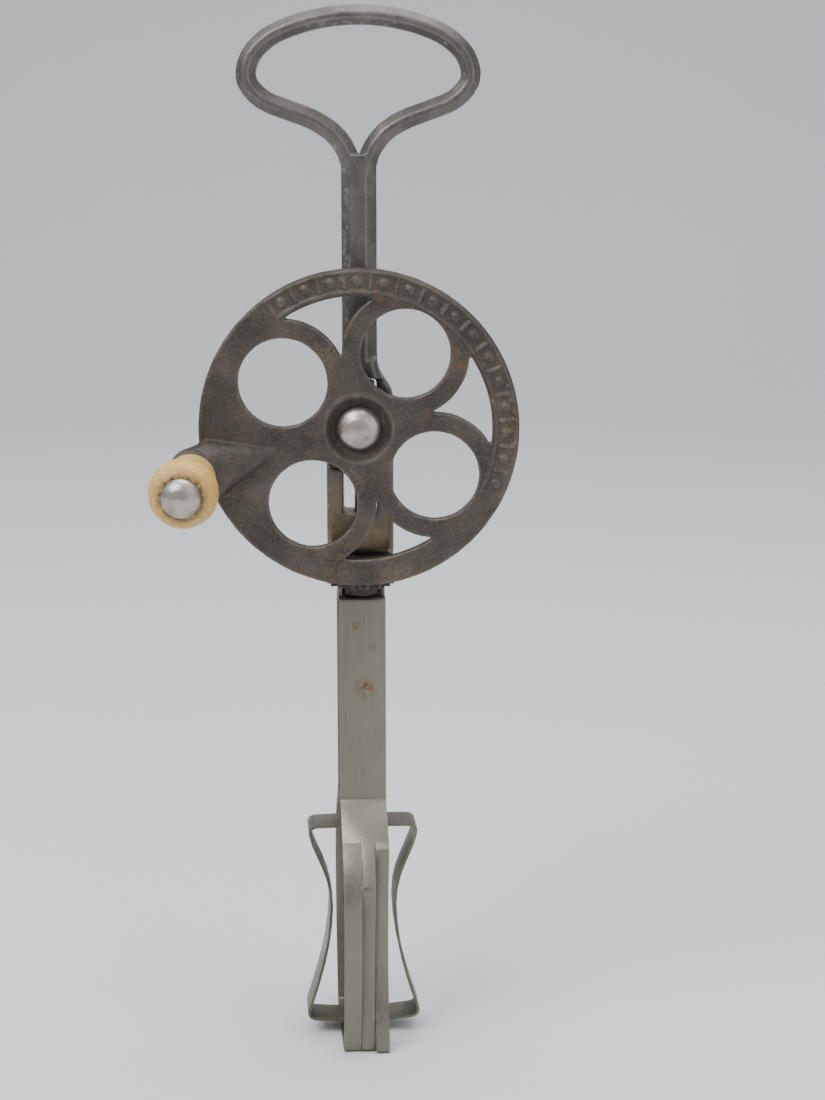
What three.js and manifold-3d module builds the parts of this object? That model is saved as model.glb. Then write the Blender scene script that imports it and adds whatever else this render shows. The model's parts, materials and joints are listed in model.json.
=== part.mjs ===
// A rotary egg beater. A cast frame ends in a loop handle. A hand-cranked wheel carries two rings of crown
// teeth on its back, which turn two nested strap dashers opposite ways about one upright axis.
// Millimetres. X is to the right, Y goes back, Z is up. The origin is on the underside of the foot,
// on the dashers' axis. The wheel turns about an axis along Y, in front of that axis.

import * as THREE from 'three';
import { mergeVertices } from 'three/addons/utils/BufferGeometryUtils.js';
import Module from 'manifold-3d';

const wasm = await Module();
wasm.setup();

// Driving dimensions
const GAP = 0.3;                  // between pieces that touch or run on each other
const INSET = 0.02;               // keeps the faces of joined shapes from lying in one plane
const AXLE_Z = 165;               // height of the wheel's axis above the foot
const LOOP_TOP = 266.2;           // height of the handle bar's middle at the top of the loop
const LOOP_HALF = 27.7;           // half the loop's width, to the middle of the bar
const BAR_WIDTH = 4.9;            // handle bar across, seen from the front
const SHANK_WIDTH = 8.8;          // octagonal shank across its flats
const BODY_HALF = 8.5;            // half the width of the two legs and the bearing block
const BODY_DEPTH = 9;             // front to back
const BODY_FOOT = 131.3;          // underside of the bearing block
const WINDOW_HALF = 4.25;         // half the width of the window between the legs
const WINDOW_FLOOR = 142;

const WHEEL_RADIUS = 40.2;
const WHEEL_FRONT = -12.2;
const WHEEL_BACK = -9.2;
const RIM_INNER = 33.4;
const HOLE_RADIUS = 11.2;         // the four round holes
const HOLE_CIRCLE = 22.3;
const HOLE_START = 58.4;          // degrees, first hole, counter-clockwise from +X seen from the front
const WEB_RADIUS = 15.9;          // outside of the ring of metal round each hole
const DISH_RADIUS = 8.5;
const DISH_FLOOR = -9.9;
const HUB_BACK = -6.5;

const CRANK_RADIUS = 43;
const CRANK_ANGLE = 195;          // degrees, where the crank stands at rest
const ARM_FRONT = -16.8;
const KNOB_RADIUS = 8.5;
const KNOB_BACK = ARM_FRONT - GAP - 0.7 - GAP;
const KNOB_FRONT = -44.3;

const STUD_RADIUS = 2.4;
const PIN_RADIUS = 2.2;
const SHAFT_RADIUS = 1.5;
const SHAFT_BORE = SHAFT_RADIUS + GAP;
const SHAFT_FOOT = 1.2;
const SHAFT_TOP = 184;

const OUTER_CROWN = { teeth: 70, inner: 35, outer: 39.4, tip: -7.05, rootWidth: 1.45, tipWidth: 0.85 };
const INNER_CROWN = { teeth: 20, inner: 7.7, outer: 10.1, tip: -2.6, rootWidth: 1.05, tipWidth: 0.6 };
const LOWER_PINION = {
  teeth: 15, root: 6.65, tip: 8.75, rootWidth: 1.5, tipWidth: 0.85, top: 130.7, foot: 122.9,
};
const UPPER_PINION = {
  teeth: 7, root: 2.3, tip: 3.75, rootWidth: 1.1, tipWidth: 0.6, top: 175.9, foot: 171.9,
};
const DRUM_BACK = -4.2;

const STRAP = 0.8;                // thickness of the outer dasher's strap
const STRAP_TOP = 120.2;
const STRAP_HALF = 6;             // half the strap's width
const NECK_RADIUS = 6.5;
const FLARE_TOP = 66.2;
const INNER_STRAP = 0.75;
const INNER_STRAP_HALF = 4.75;
const INNER_TOP = 58.8;
const INNER_FOOT = 3;
const LOWER_FERRULE_FOOT = INNER_FOOT + INNER_STRAP + GAP;
const OUTER_TURN = 4.6;           // degrees that each dasher stands turned at rest
const INNER_TURN = 5;

const HUB_RADIUS = 5.3;           // the lower pinion's hub, above the strap
const HUB_FLAT = 4.85;            // half its width between the strap's two ears
const SLEEVE_RADIUS = 2.9;        // the pinion's sleeve, through the strap
const SLEEVE_FOOT = 118.1;

const COLLAR_HEIGHT = 3.2;        // the ring on the shaft under the sleeve
const FERRULE_HEIGHT = 3.4;       // the rings on the shaft inside the inner dasher's two bars
const CROSS_PIN_RADIUS = 0.5;

const MATERIALS = {
  cast_iron: new THREE.MeshStandardMaterial({ color: 0x5a544b, roughness: 0.6, metalness: 0.75 }),
  dark_iron: new THREE.MeshStandardMaterial({ color: 0x4a4238, roughness: 0.7, metalness: 0.7 }),
  tinned_steel: new THREE.MeshStandardMaterial({ color: 0x8d897b, roughness: 0.4, metalness: 0.9 }),
  bright_steel: new THREE.MeshStandardMaterial({ color: 0xa8a49c, roughness: 0.35, metalness: 0.95 }),
  pale_wood: new THREE.MeshStandardMaterial({ color: 0xd6ba78, roughness: 0.55, metalness: 0 }),
};

const X_AXIS = new THREE.Vector3(1, 0, 0);
const Y_AXIS = new THREE.Vector3(0, 1, 0);
const Z_AXIS = new THREE.Vector3(0, 0, 1);
const DEGREE = Math.PI / 180;

// Geometry to manifold and back

function signedVolume(position, index) {
  const a = new THREE.Vector3();
  const b = new THREE.Vector3();
  const c = new THREE.Vector3();
  let volume = 0;
  for (let i = 0; i < index.length; i += 3) {
    a.fromArray(position, index[i] * 3);
    b.fromArray(position, index[i + 1] * 3);
    c.fromArray(position, index[i + 2] * 3);
    volume += a.dot(b.cross(c)) / 6;
  }
  return volume;
}

function solid(geometry) {
  const bare = geometry.clone();
  bare.deleteAttribute('normal');
  bare.deleteAttribute('uv');
  const merged = mergeVertices(bare, 1e-4);
  const position = new Float32Array(merged.attributes.position.array);
  const kept = [];
  for (let i = 0; i < merged.index.count; i += 3) {
    const [a, b, c] = [0, 1, 2].map((corner) => merged.index.getX(i + corner));
    if (a !== b && b !== c && c !== a) kept.push(a, b, c);
  }
  if (signedVolume(position, kept) < 0) {
    for (let i = 0; i < kept.length; i += 3) [kept[i], kept[i + 1]] = [kept[i + 1], kept[i]];
  }
  const triangles = new Uint32Array(kept);
  return new wasm.Manifold(new wasm.Mesh({ numProp: 3, vertProperties: position, triVerts: triangles }));
}

function geometryOf(body) {
  const mesh = body.asOriginal().getMesh();
  const geometry = new THREE.BufferGeometry();
  geometry.setAttribute('position', new THREE.BufferAttribute(new Float32Array(mesh.vertProperties), 3));
  geometry.setIndex(new THREE.BufferAttribute(new Uint32Array(mesh.triVerts), 1));
  geometry.computeVertexNormals();
  return geometry;
}

function join(...bodies) {
  return bodies.reduce((whole, body) => whole.add(body));
}

// Simple shapes

function block(x0, x1, y0, y1, z0, z1) {
  const geometry = new THREE.BoxGeometry(x1 - x0, y1 - y0, z1 - z0);
  geometry.translate((x0 + x1) / 2, (y0 + y1) / 2, (z0 + z1) / 2);
  return solid(geometry);
}

// A profile of [radius, height] pairs turned about Z
function turnedZ(profile, segments = 24) {
  const geometry = new THREE.LatheGeometry(profile.map(([r, h]) => new THREE.Vector2(r, h)), segments);
  geometry.rotateX(Math.PI / 2);
  return solid(geometry);
}

// A profile of [radius, depth] pairs turned about the wheel's axis
function turnedY(profile, segments = 32) {
  const geometry = new THREE.LatheGeometry(profile.map(([r, h]) => new THREE.Vector2(r, h)), segments);
  geometry.translate(0, 0, AXLE_Z);
  return solid(geometry);
}

function ringProfile(inner, outer, low, high) {
  return [[inner, low], [outer, low], [outer, high], [inner, high], [inner, low]];
}

function rodProfile(radius, low, high) {
  return [[0, low], [radius, low], [radius, high], [0, high]];
}

// A domed head: base radius, depth of its flat back and depth of its crown, both along Y
function domeProfile(radius, back, crown, shank, end) {
  const profile = [[0, crown]];
  const steps = 6;
  for (let i = 1; i <= steps; i += 1) {
    const angle = (i / steps) * Math.PI / 2;
    profile.push([radius * Math.sin(angle), back + (crown - back) * Math.cos(angle)]);
  }
  return [...profile, [shank, back], [shank, end], [0, end]];
}

// An outline in X and Z, carried from the front plane to the back plane
function slab(outline, front, back, chamfer = 0) {
  const geometry = new THREE.ExtrudeGeometry(outline, {
    depth: back - front - 2 * chamfer,
    bevelEnabled: chamfer > 0,
    bevelSegments: 1,
    bevelSize: chamfer,
    bevelThickness: chamfer,
    bevelOffset: -chamfer,
    curveSegments: 20,
  });
  geometry.applyMatrix4(new THREE.Matrix4().makeBasis(X_AXIS, Z_AXIS, Y_AXIS.clone().negate()));
  geometry.translate(0, back - chamfer, 0);
  return solid(geometry);
}

// An outline in Y and Z, carried from x0 to x1
function slice(outline, x0, x1) {
  const geometry = new THREE.ExtrudeGeometry(outline, { depth: x1 - x0, bevelEnabled: false });
  geometry.applyMatrix4(new THREE.Matrix4().makeBasis(Y_AXIS, Z_AXIS, X_AXIS));
  geometry.translate(x0, 0, 0);
  return solid(geometry);
}

function cutCorners(halfX, halfY, chamfer) {
  return new THREE.Shape([
    [halfX, halfY - chamfer], [halfX - chamfer, halfY], [chamfer - halfX, halfY], [-halfX, halfY - chamfer],
    [-halfX, chamfer - halfY], [chamfer - halfX, -halfY], [halfX - chamfer, -halfY], [halfX, chamfer - halfY],
  ].map(([x, y]) => new THREE.Vector2(x, y)));
}

// Turns a body about the wheel's axis, clockwise seen from the front
function turnedOnAxle(body, degrees) {
  return body.translate([0, 0, -AXLE_Z]).rotate([0, degrees, 0]).translate([0, 0, AXLE_Z]);
}

// Where two circles cross, on the side farther from the origin
function outerCrossing(centreA, radiusA, centreB, radiusB) {
  const between = centreB.clone().sub(centreA);
  const distance = between.length();
  const along = (radiusA ** 2 - radiusB ** 2 + distance ** 2) / (2 * distance);
  const aside = Math.sqrt(radiusA ** 2 - along ** 2);
  between.normalize();
  const foot = centreA.clone().addScaledVector(between, along);
  const normal = new THREE.Vector2(-between.y, between.x);
  const choices = [aside, -aside].map((step) => foot.clone().addScaledVector(normal, step));
  return choices.sort((p, q) => q.length() - p.length())[0];
}

// Gear teeth

function pinionOutline({ teeth, root, tip, rootWidth, tipWidth }) {
  const points = [];
  const pitch = 2 * Math.PI / teeth;
  // A gap between two teeth faces the wheel, towards -Y
  const first = -Math.PI / 2 + pitch / 2;
  for (let i = 0; i < teeth; i += 1) {
    const middle = first + i * pitch;
    const corners = [[root, -rootWidth], [tip, -tipWidth], [tip, tipWidth], [root, rootWidth]];
    for (const [radius, width] of corners) {
      const angle = middle + width / 2 / radius;
      points.push(new THREE.Vector2(radius * Math.cos(angle), radius * Math.sin(angle)));
    }
  }
  return new THREE.Shape(points);
}

function pinionTeeth(pinion) {
  const depth = pinion.top - pinion.foot;
  const geometry = new THREE.ExtrudeGeometry(pinionOutline(pinion), { depth, bevelEnabled: false });
  geometry.translate(0, 0, pinion.foot);
  return solid(geometry);
}

// Radial teeth standing back from the wheel, from the plane at root to their tips
function crownTeeth({ teeth, inner, outer, tip, rootWidth, tipWidth }, root) {
  const section = new THREE.Shape([
    new THREE.Vector2(-rootWidth / 2, root - 0.3),
    new THREE.Vector2(rootWidth / 2, root - 0.3),
    new THREE.Vector2(tipWidth / 2, tip),
    new THREE.Vector2(-tipWidth / 2, tip),
  ]);
  const geometry = new THREE.ExtrudeGeometry(section, { depth: outer - inner, bevelEnabled: false });
  geometry.translate(0, 0, AXLE_Z + inner);
  const tooth = solid(geometry);
  const ring = [];
  for (let i = 0; i < teeth; i += 1) ring.push(turnedOnAxle(tooth, i * 360 / teeth));
  return join(...ring);
}

// Frame

// The bar leaves the shank on the left, goes over the top of the loop and comes back to it on the right
function handleLoop() {
  const side = [
    [0.02, 212], [0.03, 221], [0.062, 228.5], [0.115, 233.4], [0.227, 237.6], [0.405, 240.8],
    [0.626, 243.1], [0.867, 246], [1, 250.6], [0.964, 256], [0.79, 260.9], [0.482, 264.4],
    [0.2, LOOP_TOP - 0.3],
  ].map(([across, z]) => new THREE.Vector3(across * LOOP_HALF, 0, z));
  const left = side.map((point) => new THREE.Vector3(-point.x, 0, point.z));
  const path = new THREE.CatmullRomCurve3([...left, new THREE.Vector3(0, 0, LOOP_TOP), ...side.reverse()]);
  const section = cutCorners(SHANK_WIDTH / 2 - 0.2, BAR_WIDTH / 2, 1.8);
  return solid(new THREE.ExtrudeGeometry(section, { steps: 84, extrudePath: path, bevelEnabled: false }));
}

function shank() {
  const half = SHANK_WIDTH / 2;
  const flat = half * (1 - Math.tan(Math.PI / 8));
  const low = AXLE_Z + 12;
  const high = 232.4;
  const section = cutCorners(half, half, flat);
  const geometry = new THREE.ExtrudeGeometry(section, { depth: high - low, bevelEnabled: false });
  geometry.translate(0, 0, low);
  return solid(geometry);
}

function bodyOutline() {
  const half = SHANK_WIDTH / 2;
  const shoulder = AXLE_Z + 5.5;
  const neck = AXLE_Z + 17;
  const outline = new THREE.Shape();
  outline.moveTo(-BODY_HALF, BODY_FOOT);
  outline.lineTo(BODY_HALF, BODY_FOOT);
  outline.lineTo(BODY_HALF, shoulder);
  outline.bezierCurveTo(BODY_HALF, shoulder + 5, half, neck - 6, half, neck);
  outline.lineTo(-half, neck);
  outline.bezierCurveTo(-half, neck - 6, -BODY_HALF, shoulder + 5, -BODY_HALF, shoulder);
  return outline;
}

function windowOutline() {
  const spring = AXLE_Z + 10.6;
  const rise = 1.6;
  const outline = new THREE.Shape();
  outline.moveTo(-WINDOW_HALF, WINDOW_FLOOR);
  outline.lineTo(WINDOW_HALF, WINDOW_FLOOR);
  outline.lineTo(WINDOW_HALF, spring);
  outline.absellipse(0, spring, WINDOW_HALF, rise, 0, Math.PI, false, 0);
  return outline;
}

function frameCasting() {
  const half = BODY_DEPTH / 2;
  const recess = 11.6;            // clears the small ring of teeth
  const recessFront = -1.9;
  const bridge = 3.6;             // half the height of the bridge that carries the stud
  const bossFront = HUB_BACK + 2 * GAP + 0.7;
  const casting = join(
    handleLoop(),
    shank(),
    slab(bodyOutline(), -half, half, 1.2),
  )
    .subtract(slab(windowOutline(), -half - 1, half + 1))
    .subtract(block(-20, 20, -20, recessFront, AXLE_Z - recess, AXLE_Z + recess));
  const reach = WINDOW_HALF + 0.5;
  const boss = join(
    block(-reach, reach, recessFront + 0.1, half - 0.6, AXLE_Z - bridge, AXLE_Z + bridge),
    turnedY(rodProfile(bridge, bossFront, recessFront + 1)),
  );
  return casting
    .add(boss)
    .subtract(turnedY(rodProfile(STUD_RADIUS + GAP, -20, -2.8), 24))
    .subtract(turnedZ(rodProfile(SHAFT_BORE, 120, SHAFT_TOP + GAP)));
}

// Wheel

function holeCentre(index) {
  const angle = (HOLE_START + 90 * index) * DEGREE;
  return new THREE.Vector2(HOLE_CIRCLE * Math.cos(angle), HOLE_CIRCLE * Math.sin(angle));
}

function roundHoles() {
  const holes = [0, 1, 2, 3].map((index) => {
    const centre = holeCentre(index);
    const outline = new THREE.Shape();
    outline.absarc(centre.x, AXLE_Z + centre.y, HOLE_RADIUS, 0, 2 * Math.PI, false);
    return slab(outline, WHEEL_FRONT - 1, WHEEL_BACK + 1);
  });
  return join(...holes);
}

// The curved triangle between a hole, the next one round and the rim
function openingBetween(index) {
  const centres = [holeCentre(index), holeCentre(index + 1)];
  const axle = new THREE.Vector2(0, 0);
  const bottom = outerCrossing(centres[0], WEB_RADIUS, centres[1], WEB_RADIUS);
  // Each ring of metal meets the rim's inner edge on the side that faces the opening
  const tips = centres.map((centre) => {
    const crossing = outerCrossing(centre, WEB_RADIUS, axle, RIM_INNER);
    const alongCentre = 2 * crossing.dot(centre) / centre.lengthSq();
    const reflected = centre.clone().multiplyScalar(alongCentre).sub(crossing);
    return [crossing, reflected].sort((p, q) => p.distanceTo(bottom) - q.distanceTo(bottom))[0];
  });
  const outline = new THREE.Shape();
  const angleAt = (point, centre) => Math.atan2(point.y - centre.y, point.x - centre.x);
  const arc = (centre, radius, from, to, clockwise) => {
    outline.absarc(centre.x, centre.y, radius, angleAt(from, centre), angleAt(to, centre), clockwise);
  };
  arc(axle, RIM_INNER, tips[0], tips[1], false);
  arc(centres[1], WEB_RADIUS, tips[1], bottom, true);
  arc(centres[0], WEB_RADIUS, bottom, tips[0], true);
  return slab(outline, WHEEL_FRONT - 1, WHEEL_BACK + 1).translate([0, 0, AXLE_Z]);
}

function wheelDisc() {
  const edge = 0.4;
  return turnedY([
    [STUD_RADIUS + GAP, DISH_FLOOR], [STUD_RADIUS + GAP, HUB_BACK], [6.9, HUB_BACK], [6.9, DRUM_BACK],
    [10.6, DRUM_BACK], [10.6, WHEEL_BACK],
    [WHEEL_RADIUS - edge, WHEEL_BACK], [WHEEL_RADIUS, WHEEL_BACK - edge],
    [WHEEL_RADIUS, WHEEL_FRONT + edge], [WHEEL_RADIUS - edge, WHEEL_FRONT], [DISH_RADIUS + 0.9, WHEEL_FRONT],
    [DISH_RADIUS + 0.3, WHEEL_FRONT - 0.35], [DISH_RADIUS - 0.3, WHEEL_FRONT - 0.1], [6.9, -10.6],
    [5.8, DISH_FLOOR], [STUD_RADIUS + GAP, DISH_FLOOR],
  ], 96);
}

function arcRail(inner, outer, from, to, height) {
  const outline = new THREE.Shape();
  outline.absarc(0, 0, outer, from * DEGREE, to * DEGREE, false);
  outline.absarc(0, 0, inner, to * DEGREE, from * DEGREE, true);
  return slab(outline, WHEEL_FRONT - height, WHEEL_FRONT + 0.5).translate([0, 0, AXLE_Z]);
}

// A plain raised border with a row of beads and short bars, round the top and right of the rim
function rimOrnament() {
  const from = -27;
  const to = 126;
  const middle = 37.1;
  const count = 30;
  const pieces = [
    arcRail(34.1, 34.7, from, to, 0.4),
    arcRail(WHEEL_RADIUS - 1.1, WHEEL_RADIUS - 0.5, from, to, 0.4),
    arcRail(34.3, WHEEL_RADIUS - 0.7, from + 0.1, from + 1, 0.37),
    arcRail(34.3, WHEEL_RADIUS - 0.7, to - 1, to - 0.1, 0.37),
  ];
  for (let i = 1; i < count; i += 1) {
    const angle = from + (to - from) * i / count;
    const bead = turnedY([[0, WHEEL_FRONT + 0.3], [1.3, WHEEL_FRONT + 0.3], [1.2, WHEEL_FRONT - 0.3],
      [0.7, WHEEL_FRONT - 0.6], [0, WHEEL_FRONT - 0.6]], 10);
    const bar = block(-1.7, 1.7, WHEEL_FRONT - 0.5, WHEEL_FRONT + 0.3, AXLE_Z - 0.35, AXLE_Z + 0.35);
    pieces.push(turnedOnAxle((i % 2 ? bead : bar).translate([middle, 0, 0]), -angle));
  }
  return join(...pieces);
}

// The half cone in relief that grows out of the web into the crank arm
function crankArm() {
  const tip = 21.5;
  const wide = 37.5;
  const back = WHEEL_BACK - 0.3;
  const profile = [[0, tip], [0.4, tip], [7.4, wide], [6.5, CRANK_RADIUS], [0, CRANK_RADIUS]];
  const cone = new THREE.LatheGeometry(profile.map(([r, h]) => new THREE.Vector2(r, h)), 32);
  cone.rotateZ(-Math.PI / 2);
  cone.scale(1, 0.66, 1);
  cone.translate(0, WHEEL_FRONT, AXLE_Z);
  const eye = turnedY([[0, ARM_FRONT], [5.6, ARM_FRONT], [6.4, ARM_FRONT + 0.8], [6.4, back - 0.5],
    [5.9, back], [0, back]]).translate([CRANK_RADIUS, 0, 0]);
  const arm = join(solid(cone).subtract(block(0, 60, back - INSET, 10, AXLE_Z - 12, AXLE_Z + 12)), eye);
  return turnedOnAxle(arm, -CRANK_ANGLE);
}

function atCrank(body) {
  const angle = CRANK_ANGLE * DEGREE;
  return body.translate([CRANK_RADIUS * Math.cos(angle), 0, CRANK_RADIUS * Math.sin(angle)]);
}

function driveWheel() {
  const bigRing = crownTeeth(OUTER_CROWN, WHEEL_BACK);
  const smallRing = crownTeeth(INNER_CROWN, DRUM_BACK);
  return join(wheelDisc(), bigRing, smallRing, crankArm(), rimOrnament())
    .subtract(roundHoles())
    .subtract(join(openingBetween(0), openingBetween(2), openingBetween(3)))
    .subtract(atCrank(turnedY(rodProfile(PIN_RADIUS + GAP, ARM_FRONT - 1, WHEEL_BACK + 1), 24)));
}

function axleStud() {
  return turnedY(domeProfile(5.6, DISH_FLOOR - GAP, -13.7, STUD_RADIUS, -3.2));
}

function axleWasher() {
  return turnedY(ringProfile(STUD_RADIUS + GAP, 4.6, HUB_BACK + GAP, HUB_BACK + GAP + 0.7));
}

// Crank knob

function crankPin() {
  const head = domeProfile(4.9, KNOB_FRONT - GAP, KNOB_FRONT - 3.4, PIN_RADIUS, WHEEL_BACK - 0.2);
  return atCrank(turnedY(head, 36));
}

function knobWasher() {
  return atCrank(turnedY(ringProfile(PIN_RADIUS + GAP, 5.2, ARM_FRONT - GAP - 0.7, ARM_FRONT - GAP), 32));
}

function crankKnob() {
  const bore = PIN_RADIUS + GAP;
  return atCrank(turnedY([
    [bore, KNOB_BACK], [5.6, KNOB_BACK], [6.2, KNOB_BACK - 0.9], [6.5, KNOB_BACK - 5], [7.3, KNOB_BACK - 10],
    [8, KNOB_BACK - 15.5], [KNOB_RADIUS, KNOB_FRONT + 5.8], [8.3, KNOB_FRONT + 3.2], [7.4, KNOB_FRONT + 1.3],
    [5.8, KNOB_FRONT + 0.2], [4.8, KNOB_FRONT], [bore, KNOB_FRONT], [bore, KNOB_BACK],
  ], 40));
}

// Dashers

// A closed run of points moved inwards by a distance, which runs clockwise
function movedInwards(points, distance) {
  return points.map((point, i) => {
    const before = points[(i + points.length - 1) % points.length];
    const after = points[(i + 1) % points.length];
    const arriving = point.clone().sub(before).normalize();
    const leaving = after.clone().sub(point).normalize();
    const along = arriving.clone().add(leaving).normalize();
    const reach = distance / Math.max(0.5, along.dot(leaving));
    return point.clone().add(new THREE.Vector2(along.y, -along.x).multiplyScalar(reach));
  });
}

// A closed strap loop, mirrored about the upright axis, with the same thickness all round.
// The inset takes a little off both faces.
function loopOutline(half, thickness, inset = 0) {
  const all = [...half, ...half.slice(1, -1).reverse().map((point) => new THREE.Vector2(-point.x, point.y))];
  const outline = new THREE.Shape(inset > 0 ? movedInwards(all, inset) : all);
  outline.holes.push(new THREE.Path(movedInwards(all, thickness - inset).reverse()));
  return outline;
}

// From the top down to the end of the flare, where the strap is cut into strips
function neckPath() {
  const path = new THREE.Path();
  path.moveTo(0, STRAP_TOP);
  path.lineTo(NECK_RADIUS - 1.1, STRAP_TOP);
  path.quadraticCurveTo(NECK_RADIUS, STRAP_TOP, NECK_RADIUS, STRAP_TOP - 1.1);
  path.lineTo(NECK_RADIUS, FLARE_TOP + 0.8);
  path.quadraticCurveTo(NECK_RADIUS, FLARE_TOP, NECK_RADIUS + 0.7, FLARE_TOP - 0.6);
  path.lineTo(17.7, 56.9);
  return path;
}

function footPath(path, corner) {
  path.quadraticCurveTo(corner, 0, corner - 1.6, 0);
  path.lineTo(0, 0);
  return path.getPoints(7);
}

// Waisted strip, bent sharply inwards at the end of the flare
function waistedStrip() {
  const path = neckPath();
  path.quadraticCurveTo(18.7, 56, 18.2, 54.6);
  path.bezierCurveTo(12.2, 38, 11.6, 20, 18.8, 1.6);
  return footPath(path, 18.8);
}

// Strip that runs farther out before its bend
function longStrip() {
  const path = neckPath();
  path.lineTo(22.4, 48.6);
  path.quadraticCurveTo(23.5, 46.9, 22.7, 45.2);
  path.bezierCurveTo(17.6, 34, 14.2, 16, 17.4, 1.6);
  return footPath(path, 17.4);
}

// Barrel strip, bent in one round sweep
function barrelStrip() {
  const path = neckPath();
  path.bezierCurveTo(24.6, 50.4, 25.6, 40, 24, 29);
  path.bezierCurveTo(22.6, 19, 19.6, 9, 17.2, 1.6);
  return footPath(path, 17.2);
}

function outerDasher() {
  const halfSlit = 0.125;
  const cuts = [-1.35, 2.35];
  const edge = STRAP_HALF - INSET;
  const strips = [
    slice(loopOutline(barrelStrip(), STRAP, INSET), -edge, cuts[0] - halfSlit),
    slice(loopOutline(longStrip(), STRAP, INSET), cuts[0] + halfSlit, cuts[1] - halfSlit),
    slice(loopOutline(waistedStrip(), STRAP, INSET), cuts[1] + halfSlit, edge),
  ];
  const neck = slice(loopOutline(waistedStrip(), STRAP), -STRAP_HALF, STRAP_HALF)
    .intersect(block(-20, 20, -30, 30, 57.8, 130));
  const foot = block(-STRAP_HALF, STRAP_HALF, -14.5, 14.5, 0, STRAP);
  const ears = [-1, 1].map((side) => {
    const near = side * (HUB_FLAT + GAP);
    const [low, high] = [near, side * edge].sort((p, q) => p - q);
    return block(low, high, -3.2, 3.2, STRAP_TOP - 0.4, STRAP_TOP + 2.1);
  });
  return join(neck, foot, ...strips, ...ears)
    .subtract(turnedZ(rodProfile(SLEEVE_RADIUS + GAP, STRAP_TOP - 3, STRAP_TOP + 1)))
    .rotate([0, 0, OUTER_TURN]);
}

function innerDasher() {
  const path = new THREE.Path();
  path.moveTo(0, INNER_TOP);
  path.lineTo(12, INNER_TOP - 0.2);
  path.quadraticCurveTo(14.8, INNER_TOP - 0.4, 14.3, INNER_TOP - 3);
  path.bezierCurveTo(13.2, 50, 8.6, 45, 8.8, 36);
  path.bezierCurveTo(9, 25, 12.2, 15, 14.7, 7.4);
  path.quadraticCurveTo(15.9, 3.9, 12.2, 3.7);
  path.quadraticCurveTo(6, INNER_FOOT, 0, INNER_FOOT);
  return slab(loopOutline(path.getPoints(6), INNER_STRAP), -INNER_STRAP_HALF, INNER_STRAP_HALF)
    .subtract(turnedZ(rodProfile(SHAFT_BORE, INNER_FOOT - 1, INNER_TOP + 1)))
    .rotate([0, 0, INNER_TURN]);
}

// Shaft and the pieces on it

// Pins across the shaft, along X: height and half the length
const CROSS_PINS = {
  pinion_pin: [UPPER_PINION.foot - 1, 2.8],
  collar_pin: [SLEEVE_FOOT - GAP - COLLAR_HEIGHT / 2, 3.2],
  upper_ferrule_pin: [INNER_TOP + GAP + FERRULE_HEIGHT / 2, 3],
  lower_ferrule_pin: [LOWER_FERRULE_FOOT + FERRULE_HEIGHT / 2, 3],
};

function crossRod(radius, z, half) {
  const geometry = new THREE.CylinderGeometry(radius, radius, 2 * half, 16);
  geometry.rotateZ(Math.PI / 2);
  geometry.translate(0, 0, z);
  return solid(geometry);
}

function crossPinHoles() {
  const reach = 6;
  return join(...Object.values(CROSS_PINS).map(([z]) => crossRod(CROSS_PIN_RADIUS + GAP, z, reach)));
}

function innerShaft() {
  return turnedZ([[0, SHAFT_FOOT], [SHAFT_RADIUS - 0.4, SHAFT_FOOT], [SHAFT_RADIUS, SHAFT_FOOT + 0.4],
    [SHAFT_RADIUS, SHAFT_TOP - 0.4], [SHAFT_RADIUS - 0.4, SHAFT_TOP], [0, SHAFT_TOP]])
    .subtract(crossPinHoles());
}

function upperPinion() {
  const hub = turnedZ(rodProfile(2.9, UPPER_PINION.foot - 1.9, UPPER_PINION.foot + 0.1), 28);
  return join(pinionTeeth(UPPER_PINION), hub)
    .subtract(turnedZ(rodProfile(SHAFT_BORE, 160, 180), 28))
    .subtract(crossPinHoles());
}

function lowerPinion() {
  const hub = turnedZ(rodProfile(HUB_RADIUS, STRAP_TOP + GAP, LOWER_PINION.foot + 0.1), 40)
    .intersect(block(-HUB_FLAT, HUB_FLAT, -10, 10, 100, 140))
    .rotate([0, 0, OUTER_TURN]);
  const sleeve = turnedZ(rodProfile(SLEEVE_RADIUS, SLEEVE_FOOT, STRAP_TOP + 1), 32);
  return join(pinionTeeth(LOWER_PINION), hub, sleeve).subtract(turnedZ(rodProfile(SHAFT_BORE, 110, 140)));
}

// Rings on the shaft: inner radius, outer radius, underside and top
const RINGS = {
  thrust_washer: [SHAFT_BORE, 3.6, AXLE_Z + 3.9, AXLE_Z + 4.7],
  hub_washer: [SLEEVE_RADIUS + GAP, 4.6, STRAP_TOP - STRAP - GAP - 0.9, STRAP_TOP - STRAP - GAP],
  shaft_collar: [SHAFT_BORE, 3.3, SLEEVE_FOOT - GAP - COLLAR_HEIGHT, SLEEVE_FOOT - GAP],
  upper_ferrule: [SHAFT_BORE, 3.1, INNER_TOP + GAP, INNER_TOP + GAP + FERRULE_HEIGHT],
  lower_ferrule: [SHAFT_BORE, 3.1, LOWER_FERRULE_FOOT, LOWER_FERRULE_FOOT + FERRULE_HEIGHT],
  foot_bearing: [SHAFT_BORE, 3.4, STRAP + GAP, INNER_FOOT - GAP - 0.2],
};

function ringOnShaft([inner, outer, low, high]) {
  return turnedZ(ringProfile(inner, outer, low, high)).subtract(crossPinHoles());
}

// The assembly

const group = new THREE.Group();

function place(name, body, material) {
  const mesh = new THREE.Mesh(geometryOf(body), MATERIALS[material]);
  mesh.name = name;
  group.add(mesh);
}

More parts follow.
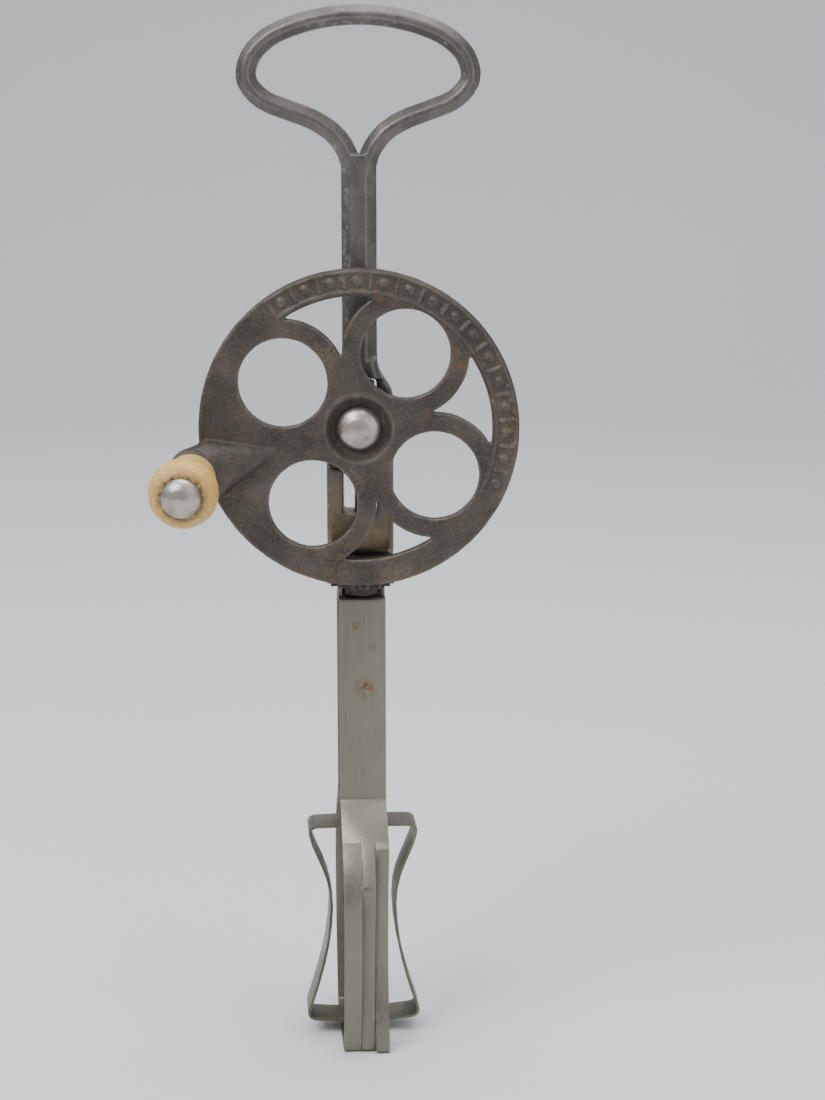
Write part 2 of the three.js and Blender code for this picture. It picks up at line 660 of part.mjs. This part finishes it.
place('frame_casting', frameCasting(), 'cast_iron');
place('axle_stud', axleStud(), 'bright_steel');
place('axle_washer', axleWasher(), 'bright_steel');
place('drive_wheel', driveWheel(), 'dark_iron');
place('crank_pin', crankPin(), 'bright_steel');
place('knob_washer', knobWasher(), 'bright_steel');
place('crank_knob', crankKnob(), 'pale_wood');
place('inner_shaft', innerShaft(), 'bright_steel');
place('upper_pinion', upperPinion(), 'dark_iron');
place('lower_pinion', lowerPinion(), 'dark_iron');
place('inner_dasher', innerDasher(), 'tinned_steel');
place('outer_dasher', outerDasher(), 'tinned_steel');
for (const [name, ring] of Object.entries(RINGS)) place(name, ringOnShaft(ring), 'bright_steel');
for (const [name, [z, half]] of Object.entries(CROSS_PINS)) {
  place(name, crossRod(CROSS_PIN_RADIUS, z, half), 'bright_steel');
}

export default group;
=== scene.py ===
"""A rotary hand egg beater: worn cast iron, tinned straps, a turned wooden knob, on a plain pale sweep."""

import json
import math

import bmesh
import bpy
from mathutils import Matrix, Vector, noise


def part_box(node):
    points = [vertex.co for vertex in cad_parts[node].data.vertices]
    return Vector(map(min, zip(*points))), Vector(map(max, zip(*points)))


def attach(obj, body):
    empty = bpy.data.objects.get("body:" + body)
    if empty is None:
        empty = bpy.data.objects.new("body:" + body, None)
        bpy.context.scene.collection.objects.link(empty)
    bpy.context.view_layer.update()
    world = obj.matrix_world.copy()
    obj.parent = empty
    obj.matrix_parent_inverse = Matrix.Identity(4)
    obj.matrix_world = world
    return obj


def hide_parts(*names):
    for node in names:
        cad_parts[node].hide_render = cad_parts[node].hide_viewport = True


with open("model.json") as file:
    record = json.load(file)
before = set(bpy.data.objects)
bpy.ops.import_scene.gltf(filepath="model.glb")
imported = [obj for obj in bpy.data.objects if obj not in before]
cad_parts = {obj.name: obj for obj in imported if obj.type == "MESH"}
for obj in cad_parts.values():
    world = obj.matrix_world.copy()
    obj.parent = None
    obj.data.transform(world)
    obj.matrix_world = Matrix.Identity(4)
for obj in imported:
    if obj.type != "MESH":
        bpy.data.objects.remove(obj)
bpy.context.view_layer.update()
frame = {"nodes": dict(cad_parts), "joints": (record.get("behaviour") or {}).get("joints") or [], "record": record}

MM = 0.001
NODE_BODY = {node: body for body, nodes in frame["record"]["behaviour"]["bodies"].items() for node in nodes}
WHEEL_JOINT = next(joint for joint in frame["joints"] if joint["name"] == "wheel_spin")
AXLE_Z = WHEEL_JOINT["pos_m"][2]
KNOB_JOINT = next(joint for joint in frame["joints"] if joint["name"] == "knob_spin")

NOISE_ROUGHNESS = 0.55
MERGE_DISTANCE = 0.002 * MM      # points nearer than this are one point
FLAT_ANGLE = math.radians(1)     # faces that meet at less than this are merged
BEVEL_ANGLE = math.radians(50)   # edges sharper than this are rounded
SHARP_ANGLE = math.radians(35)   # edges sharper than this are shaded as edges

# Colours, linear
IRON_DARK = (0.042, 0.036, 0.030)
IRON_BROWN = (0.090, 0.074, 0.058)
IRON_WORN = (0.200, 0.175, 0.145)
RUST = (0.190, 0.075, 0.035)
OCHRE = (0.235, 0.160, 0.080)
GUNMETAL = (0.165, 0.152, 0.135)
GUNMETAL_DARK = (0.085, 0.078, 0.070)
GUNMETAL_WORN = (0.330, 0.315, 0.290)
TIN = (0.120, 0.110, 0.076)
TIN_DARK = (0.055, 0.049, 0.033)
TIN_BRIGHT = (0.300, 0.285, 0.225)
RIVET = (0.460, 0.425, 0.370)
RIVET_DARK = (0.250, 0.222, 0.188)
WOOD_PALE = (0.720, 0.470, 0.140)
WOOD_MID = (0.500, 0.300, 0.078)
WOOD_GRIME = (0.100, 0.055, 0.022)
BACKDROP = (0.660, 0.665, 0.675)


# Node trees

class Finish:
    """A material's node tree, with short calls for the nodes that the finishes share."""

    def __init__(self, name, metallic):
        self.material = bpy.data.materials.new(name)
        self.material.use_nodes = True
        self.tree = self.material.node_tree
        self.shader = self.tree.nodes["Principled BSDF"]
        self.shader.inputs["Metallic"].default_value = metallic
        self.place = self.tree.nodes.new("ShaderNodeTexCoord").outputs["Object"]

    def add(self, kind, inputs=(), **settings):
        node = self.tree.nodes.new(kind)
        for key, value in settings.items():
            setattr(node, key, value)
        for socket, value in dict(inputs).items():
            self.feed(node.inputs[socket], value)
        return node

    def feed(self, socket, value):
        if isinstance(value, bpy.types.NodeSocket):
            self.tree.links.new(value, socket)
        elif isinstance(value, tuple) and len(value) == 3 and socket.type == "RGBA":
            socket.default_value = (*value, 1)
        else:
            socket.default_value = value

    def moved(self, stretch=(1, 1, 1), shift=0):
        """The object's own coordinates, stretched and shifted."""
        mapping = self.add("ShaderNodeMapping", {
            "Vector": self.place, "Scale": stretch, "Location": (shift, shift, shift)})
        return mapping.outputs["Vector"]

    def noise(self, scale, detail=4, stretch=(1, 1, 1), shift=0):
        made = self.add("ShaderNodeTexNoise", {
            "Vector": self.moved(stretch, shift), "Scale": scale,
            "Detail": detail, "Roughness": NOISE_ROUGHNESS})
        return made.outputs["Fac"]

    def pits(self, scale):
        """Distance to the nearest of many scattered points."""
        made = self.add("ShaderNodeTexVoronoi", {
            "Vector": self.moved(), "Scale": scale, "Randomness": 1.0})
        return made.outputs["Distance"]

    def range(self, value, low, high, start=0.0, end=1.0):
        made = self.add("ShaderNodeMapRange", {
            "Value": value, "From Min": low, "From Max": high, "To Min": start, "To Max": end}, clamp=True)
        return made.outputs["Result"]

    def maths(self, operation, a, b):
        return self.add("ShaderNodeMath", {0: a, 1: b}, operation=operation).outputs[0]

    def mix(self, amount, a, b):
        made = self.add("ShaderNodeMix", data_type="RGBA")
        self.feed(made.inputs["Factor"], amount)
        self.feed(made.inputs[6], a)
        self.feed(made.inputs[7], b)
        return made.outputs[2]

    def axis(self, name):
        return self.add("ShaderNodeSeparateXYZ", {"Vector": self.place}).outputs[name]

    def edges(self, low, high):
        """1 on convex edges, 0 on flat and hollow places."""
        return self.range(self.add("ShaderNodeNewGeometry").outputs["Pointiness"], low, high)

    def relief(self, layers):
        """Bump from a list of (height, depth in metres)."""
        normal = None
        for height, depth in layers:
            bump = self.add("ShaderNodeBump", {"Height": height, "Distance": depth, "Strength": 1.0})
            if normal is not None:
                self.feed(bump.inputs["Normal"], normal)
            normal = bump.outputs["Normal"]
        self.feed(self.shader.inputs["Normal"], normal)

    def done(self, colour, roughness):
        self.feed(self.shader.inputs["Base Color"], colour)
        self.feed(self.shader.inputs["Roughness"], roughness)
        return self.material


def wheel_iron():
    """Dark brown, pitted cast iron with rust and ochre patches and worn edges."""
    finish = Finish("wheel_iron", 0.55)
    clouds = finish.range(finish.noise(90, 6), 0.35, 0.68)
    colour = finish.mix(clouds, IRON_DARK, IRON_BROWN)
    speckle = finish.range(finish.noise(3400, 3, shift=2), 0.52, 0.75, 0, 0.55)
    colour = finish.mix(speckle, colour, IRON_WORN)
    ochre = finish.maths("MULTIPLY", finish.range(finish.noise(55, 4, shift=5), 0.54, 0.70), finish.range(
        finish.noise(900, 4, shift=1), 0.40, 0.66))
    colour = finish.mix(finish.maths("MULTIPLY", ochre, 0.5), colour, OCHRE)
    rust = finish.maths("MULTIPLY", finish.range(finish.noise(70, 4, shift=9), 0.60, 0.74), finish.range(
        finish.noise(700, 5, shift=3), 0.38, 0.62))
    colour = finish.mix(finish.maths("MULTIPLY", rust, 0.6), colour, RUST)
    scuffs = finish.range(finish.noise(300, 4, shift=4), 0.35, 0.6)
    worn = finish.maths("MULTIPLY", finish.edges(0.505, 0.56), scuffs)
    colour = finish.mix(finish.maths("MULTIPLY", worn, 0.7), colour, IRON_WORN)
    finish.relief([(finish.noise(700, 6), 0.00022), (finish.noise(2600, 3, shift=6), 0.00008)])
    return finish.done(colour, finish.range(finish.noise(400, 4, shift=7), 0.3, 0.7, 0.42, 0.66))


def frame_iron():
    """Gunmetal casting, rubbed smooth by hands, with a golden-brown block near the gears: partly oily rust stain,
    partly painted light where light falls through the wheel onto the lower frame.
    """
    finish = Finish("frame_iron", 0.7)
    clouds = finish.range(finish.noise(120, 5), 0.32, 0.68)
    colour = finish.mix(clouds, GUNMETAL_DARK, GUNMETAL)
    # Ochre below the axle, stronger lower down: partly rust and oil stain, partly painted light on the lower frame
    # that is lit through the wheel.
    low = finish.range(finish.axis("Z"), AXLE_Z - 0.010, AXLE_Z - 0.026)
    stain_and_painted_light = finish.maths("MULTIPLY", low, finish.range(finish.noise(260, 4, shift=3), 0.25, 0.6))
    colour = finish.mix(finish.maths("MULTIPLY", stain_and_painted_light, 0.8), colour, OCHRE)
    speckle = finish.range(finish.noise(1800, 3, shift=2), 0.55, 0.8, 0, 0.3)
    colour = finish.mix(speckle, colour, GUNMETAL_WORN)
    colour = finish.mix(finish.maths("MULTIPLY", finish.edges(0.51, 0.57), 0.35), colour, GUNMETAL_WORN)
    finish.relief([(finish.noise(500, 6), 0.00015), (finish.noise(2400, 3, shift=6), 0.00005)])
    return finish.done(colour, finish.range(finish.noise(300, 4, shift=7), 0.3, 0.7, 0.34, 0.52))


def tinned_strap():
    """Dull tinned strap, brushed along its length, with stains and a few rust spots on the neck."""
    finish = Finish("tinned_strap", 0.85)
    streaks = finish.range(finish.noise(2600, 4, stretch=(1, 1, 0.03)), 0.30, 0.70)
    stains = finish.range(finish.noise(110, 5, shift=2), 0.35, 0.70)
    colour = finish.mix(stains, TIN_DARK, TIN)
    colour = finish.mix(finish.maths("MULTIPLY", streaks, 0.35), colour, TIN_BRIGHT)
    colour = finish.mix(finish.maths("MULTIPLY", finish.edges(0.505, 0.56), 0.5), colour, TIN_BRIGHT)
    flare_reach = 0.018
    neck_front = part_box("outer_dasher")[0].y + flare_reach
    # Rust spots: sideways place, height and radius
    spots = [(0.0012, 0.0965, 0.0034), (-0.0012, 0.1130, 0.0016), (0.0030, 0.1070, 0.0014)]
    grain = finish.range(finish.noise(900, 5, shift=8), 0.40, 0.62)
    for across, height, radius in spots:
        centre = (across, neck_front, height)
        offset = finish.add("ShaderNodeVectorMath", {0: finish.place, 1: centre}, operation="DISTANCE")
        near = finish.range(offset.outputs["Value"], radius, radius * 0.3)
        colour = finish.mix(finish.maths("MULTIPLY", near, grain), colour, RUST)
    finish.relief([(streaks, 0.00003), (finish.noise(260, 4, shift=4), 0.00012)])
    return finish.done(colour, finish.range(streaks, 0, 1, 0.34, 0.48))


def bright_steel():
    """Silvery worn steel, dark in its pits."""
    finish = Finish("bright_steel", 0.9)
    clouds = finish.range(finish.noise(260, 4), 0.25, 0.60)
    colour = finish.mix(clouds, RIVET_DARK, RIVET)
    pits = finish.range(finish.pits(2200), 0.04, 0.16)
    colour = finish.mix(pits, RIVET_DARK, colour)
    finish.relief([(finish.noise(350, 4), 0.00015), (pits, 0.00003)])
    return finish.done(colour, finish.range(clouds, 0, 1, 0.50, 0.32))


def pale_wood():
    """Pale turned wood with its grain along the pin, dirt round the rivet, and darker towards its back end."""
    finish = Finish("pale_wood", 0.0)
    centre = KNOB_JOINT["pos_m"]
    low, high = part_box("crank_knob")
    grain = finish.range(finish.noise(1500, 5, stretch=(1, 0.06, 1)), 0.32, 0.68)
    colour = finish.mix(grain, WOOD_MID, WOOD_PALE)
    blotch = finish.range(finish.noise(200, 4, shift=3), 0.45, 0.72)
    colour = finish.mix(finish.maths("MULTIPLY", blotch, 0.45), colour, WOOD_MID)
    flat = finish.add("ShaderNodeVectorMath", {0: finish.place, 1: (1, 0, 1)}, operation="MULTIPLY")
    middle = (centre[0], 0, centre[2])
    from_pin = finish.add("ShaderNodeVectorMath", {0: flat.outputs[0], 1: middle}, operation="DISTANCE")
    spread = from_pin.outputs["Value"]
    front = finish.range(finish.axis("Y"), low.y + 0.0035, low.y)
    ring = finish.maths("MULTIPLY", finish.range(spread, 0.0075, 0.0052), front)
    rough_ring = finish.maths("MULTIPLY", ring, finish.range(finish.noise(900, 4, shift=5), 0.25, 0.55))
    colour = finish.mix(rough_ring, colour, WOOD_GRIME)
    # Darker towards the back end, where the knob meets the washer.
    back = finish.range(finish.axis("Y"), high.y - 0.0030, high.y)
    colour = finish.mix(finish.maths("MULTIPLY", back, 0.8), colour, WOOD_GRIME)
    finish.shader.inputs["Coat Weight"].default_value = 0.12
    finish.shader.inputs["Coat Roughness"].default_value = 0.35
    finish.relief([(grain, 0.00005), (finish.noise(350, 4, shift=6), 0.00025)])
    return finish.done(colour, finish.range(grain, 0, 1, 0.62, 0.46))


def backdrop_paint():
    """Matt pale grey with the faintest mottling."""
    finish = Finish("backdrop", 0.0)
    clouds = finish.range(finish.noise(3, 2), 0.3, 0.7)
    return finish.done(finish.mix(clouds, BACKDROP, tuple(c * 1.03 for c in BACKDROP)), 0.85)


# Pieces

def settled(piece):
    """Applies every modifier to the piece's mesh."""
    graph = bpy.context.evaluated_depsgraph_get()
    mesh = bpy.data.meshes.new_from_object(piece.evaluated_get(graph))
    piece.modifiers.clear()
    piece.data = mesh
    return piece


def copy_of(node, name):
    """A new piece with the node's shape, which hides the node and moves with its body."""
    piece = bpy.data.objects.new(name, frame["nodes"][node].data.copy())
    bpy.context.scene.collection.objects.link(piece)
    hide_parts(node)
    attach(piece, NODE_BODY[node])
    return piece


def dress(piece, slot_name, finishes):
    """Gives the piece the finish of its slot."""
    piece.data.materials.clear()
    piece.data.materials.append(finishes[slot_name])


def uneven(piece, swell, scale):
    """Moves each point along its normal by smooth noise of this many waves a metre."""
    mesh = piece.data
    normals = [item.vector.copy() for item in mesh.vertex_normals]
    places = []
    for vertex, normal in zip(mesh.vertices, normals):
        lift = noise.noise(vertex.co * scale) + 0.5 * noise.noise(vertex.co * scale * 2.7)
        places.extend(vertex.co + normal * (lift * swell))
    mesh.vertices.foreach_set("co", places)
    mesh.update()


def cast_surface(piece, voxel, smoothing, swell, scale):
    """Rounds the edges as a casting has them and leaves the skin gently uneven."""
    remesh = piece.modifiers.new("skin", "REMESH")
    remesh.mode = "VOXEL"
    remesh.voxel_size = voxel
    soften = piece.modifiers.new("soften", "SMOOTH")
    soften.factor = 0.5
    soften.iterations = smoothing
    settled(piece)
    uneven(piece, swell, scale)
    piece.data.shade_smooth()


def machined_surface(piece, width, segments=2):
    """Merges flat faces, rounds the sharp edges a little and shades the curves smoothly."""
    shape = bmesh.new()
    shape.from_mesh(piece.data)
    bmesh.ops.remove_doubles(shape, verts=shape.verts, dist=MERGE_DISTANCE)
    bmesh.ops.dissolve_limit(shape, angle_limit=FLAT_ANGLE, verts=shape.verts, edges=shape.edges)
    shape.to_mesh(piece.data)
    shape.free()
    bevel = piece.modifiers.new("edges", "BEVEL")
    bevel.width = width
    bevel.segments = segments
    bevel.limit_method = "ANGLE"
    bevel.angle_limit = BEVEL_ANGLE
    bevel.use_clamp_overlap = True
    settled(piece)
    piece.data.shade_smooth()
    piece.data.set_sharp_from_angle(angle=SHARP_ANGLE)


def turned_knob(name):
    """The wooden knob, turned on its pin: a waisted back, a full front and a rounded nose."""
    low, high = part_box("crank_knob")
    centre = KNOB_JOINT["pos_m"]
    bore = 2.5 * MM
    length = high.y - low.y
    radius = (high.x - low.x) / 2
    # How far along the knob, and how far out, as shares of its length and its radius
    stations = [
        (0.000, 0.640), (0.012, 0.690), (0.040, 0.735), (0.110, 0.755), (0.220, 0.765), (0.330, 0.785),
        (0.440, 0.835), (0.550, 0.905), (0.650, 0.960), (0.745, 0.995), (0.800, 0.998), (0.860, 0.972),
        (0.915, 0.905), (0.958, 0.800), (0.985, 0.680), (1.000, 0.560),
    ]
    sides = 96
    rings = [(high.y, bore)] + [(high.y - length * t, radius * r) for t, r in stations] + [(low.y, bore)]
    shape = bmesh.new()
    loops = []
    for depth, ring_radius in rings:
        loop = []
        for i in range(sides):
            angle = 2 * math.pi * i / sides
            across = ring_radius * math.cos(angle)
            up = ring_radius * math.sin(angle)
            loop.append(shape.verts.new((centre[0] + across, depth, centre[2] + up)))
        loops.append(loop)
    for near, far in zip(loops, loops[1:] + loops[:1]):
        for i in range(sides):
            after = (i + 1) % sides
            shape.faces.new((near[i], near[after], far[after], far[i]))
    bmesh.ops.recalc_face_normals(shape, faces=shape.faces)
    mesh = bpy.data.meshes.new(name)
    shape.to_mesh(mesh)
    shape.free()
    piece = bpy.data.objects.new(name, mesh)
    bpy.context.scene.collection.objects.link(piece)
    smooth = piece.modifiers.new("round", "SUBSURF")
    smooth.levels = 1
    smooth.render_levels = 1
    settled(piece)
    uneven(piece, 0.06 * MM, 220)
    piece.data.shade_smooth()
    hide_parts("crank_knob")
    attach(piece, NODE_BODY["crank_knob"])
    return piece


# Stage, light and camera

def sweep():
    """A floor that curves up into a back wall."""
    half, near, far, bend, top = 1.6, -1.4, 1.1, 0.5, 1.8
    steps = 12
    profile = [(near, 0.0), (far, 0.0)]
    for k in range(1, steps + 1):
        angle = math.pi / 2 * k / steps
        profile.append((far + bend * math.sin(angle), bend * (1 - math.cos(angle))))
    profile.append((far + bend, top))
    shape = bmesh.new()
    rows = [[shape.verts.new((x, y, z)) for x in (-half, half)] for y, z in profile]
    for low, high in zip(rows, rows[1:]):
        shape.faces.new((low[0], low[1], high[1], high[0]))
    mesh = bpy.data.meshes.new("sweep")
    shape.to_mesh(mesh)
    shape.free()
    mesh.shade_smooth()
    mesh.materials.append(backdrop_paint())
    floor = bpy.data.objects.new("sweep", mesh)
    floor.location.z = -0.2 * MM
    bpy.context.scene.collection.objects.link(floor)


def lamp(name, place, target, size, power):
    """A rectangular lamp that faces the target."""
    light = bpy.data.lights.new(name, "AREA")
    light.shape = "RECTANGLE"
    light.size, light.size_y = size
    light.energy = power
    holder = bpy.data.objects.new(name, light)
    holder.location = place
    holder.rotation_euler = (Vector(target) - Vector(place)).to_track_quat("-Z", "Y").to_euler()
    bpy.context.scene.collection.objects.link(holder)


def studio_world():
    """Surrounding light, faint near the horizon and brighter overhead."""
    world = bpy.data.worlds.new("studio")
    world.use_nodes = True
    tree = world.node_tree
    place = tree.nodes.new("ShaderNodeTexCoord")
    parts = tree.nodes.new("ShaderNodeSeparateXYZ")
    height = tree.nodes.new("ShaderNodeMapRange")
    height.inputs["From Min"].default_value = -0.1
    height.inputs["From Max"].default_value = 0.8
    height.inputs["To Min"].default_value = 0.10
    height.inputs["To Max"].default_value = 1.15
    tree.links.new(place.outputs["Generated"], parts.inputs["Vector"])
    tree.links.new(parts.outputs["Z"], height.inputs["Value"])
    background = tree.nodes["Background"]
    background.inputs["Color"].default_value = (0.85, 0.88, 0.93, 1)
    tree.links.new(height.outputs["Result"], background.inputs["Strength"])
    bpy.context.scene.world = world


def studio():
    """The surrounding light and three soft lamps."""
    studio_world()
    middle = (0, 0, 0.14)
    # Place, size and power in watts
    lamps = {
        "key": ((-0.55, -0.55, 0.95), (0.6, 0.5), 10),
        "fill": ((0.80, -0.60, 0.40), (0.8, 0.8), 3),
        "top": ((0.10, 0.15, 1.10), (0.9, 0.6), 7),
    }
    for name, (place, size, power) in lamps.items():
        lamp(name, place, middle, size, power)


def camera():
    """Level with the handle and looking down at the wheel, a little to the right of the shank."""
    aside = 0.0134
    distance = 0.558                 # from the camera to the wheel's foremost point, along Y
    above_axle = 0.093
    tilt = 12.4                      # degrees below level
    wheel_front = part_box("drive_wheel")[0].y
    data = bpy.data.cameras.new("camera")
    data.sensor_fit = "VERTICAL"
    data.sensor_height = 36
    data.lens = 74.6
    holder = bpy.data.objects.new("camera", data)
    holder.location = (aside, wheel_front - distance, AXLE_Z + above_axle)
    holder.rotation_euler = (math.radians(90 - tilt), 0, 0)
    bpy.context.scene.collection.objects.link(holder)
    bpy.context.scene.camera = holder


# The object

def build():
    finishes = {
        "wheel_iron": wheel_iron(),
        "frame_iron": frame_iron(),
        "tinned_strap": tinned_strap(),
        "bright_steel": bright_steel(),
        "pale_wood": pale_wood(),
    }
    slots = {entry["node"]: entry["material_slot"] for entry in frame["record"]["subparts"]}
    # Piece, voxel size, smoothing passes, swell, and waves a metre
    castings = {
        "frame_casting": ("cast_frame", 0.40 * MM, 3, 0.05 * MM, 260),
        "drive_wheel": ("cast_wheel", 0.30 * MM, 2, 0.06 * MM, 320),
        "axle_stud": ("stud_head", 0.25 * MM, 3, 0.05 * MM, 330),
        "crank_pin": ("pin_head", 0.25 * MM, 3, 0.05 * MM, 330),
        "lower_pinion": ("cast_pinion", 0.22 * MM, 2, 0.03 * MM, 400),
        "upper_pinion": ("cast_upper_pinion", 0.18 * MM, 2, 0.02 * MM, 400),
    }
    for node, (name, voxel, smoothing, swell, scale) in castings.items():
        piece = copy_of(node, name)
        cast_surface(piece, voxel, smoothing, swell, scale)
        dress(piece, slots[node], finishes)
    straps = {"outer_dasher": "strap_outer", "inner_dasher": "strap_inner"}
    for node, name in straps.items():
        piece = copy_of(node, name)
        machined_surface(piece, 0.14 * MM, segments=3)
        dress(piece, slots[node], finishes)
    knob = turned_knob("turned_knob")
    dress(knob, slots["crank_knob"], finishes)
    done = {*castings, *straps, "crank_knob"}
    for node in sorted(set(slots) - done):
        piece = copy_of(node, "fine_" + node)
        machined_surface(piece, 0.10 * MM)
        dress(piece, slots[node], finishes)


build()
sweep()
studio()
camera()
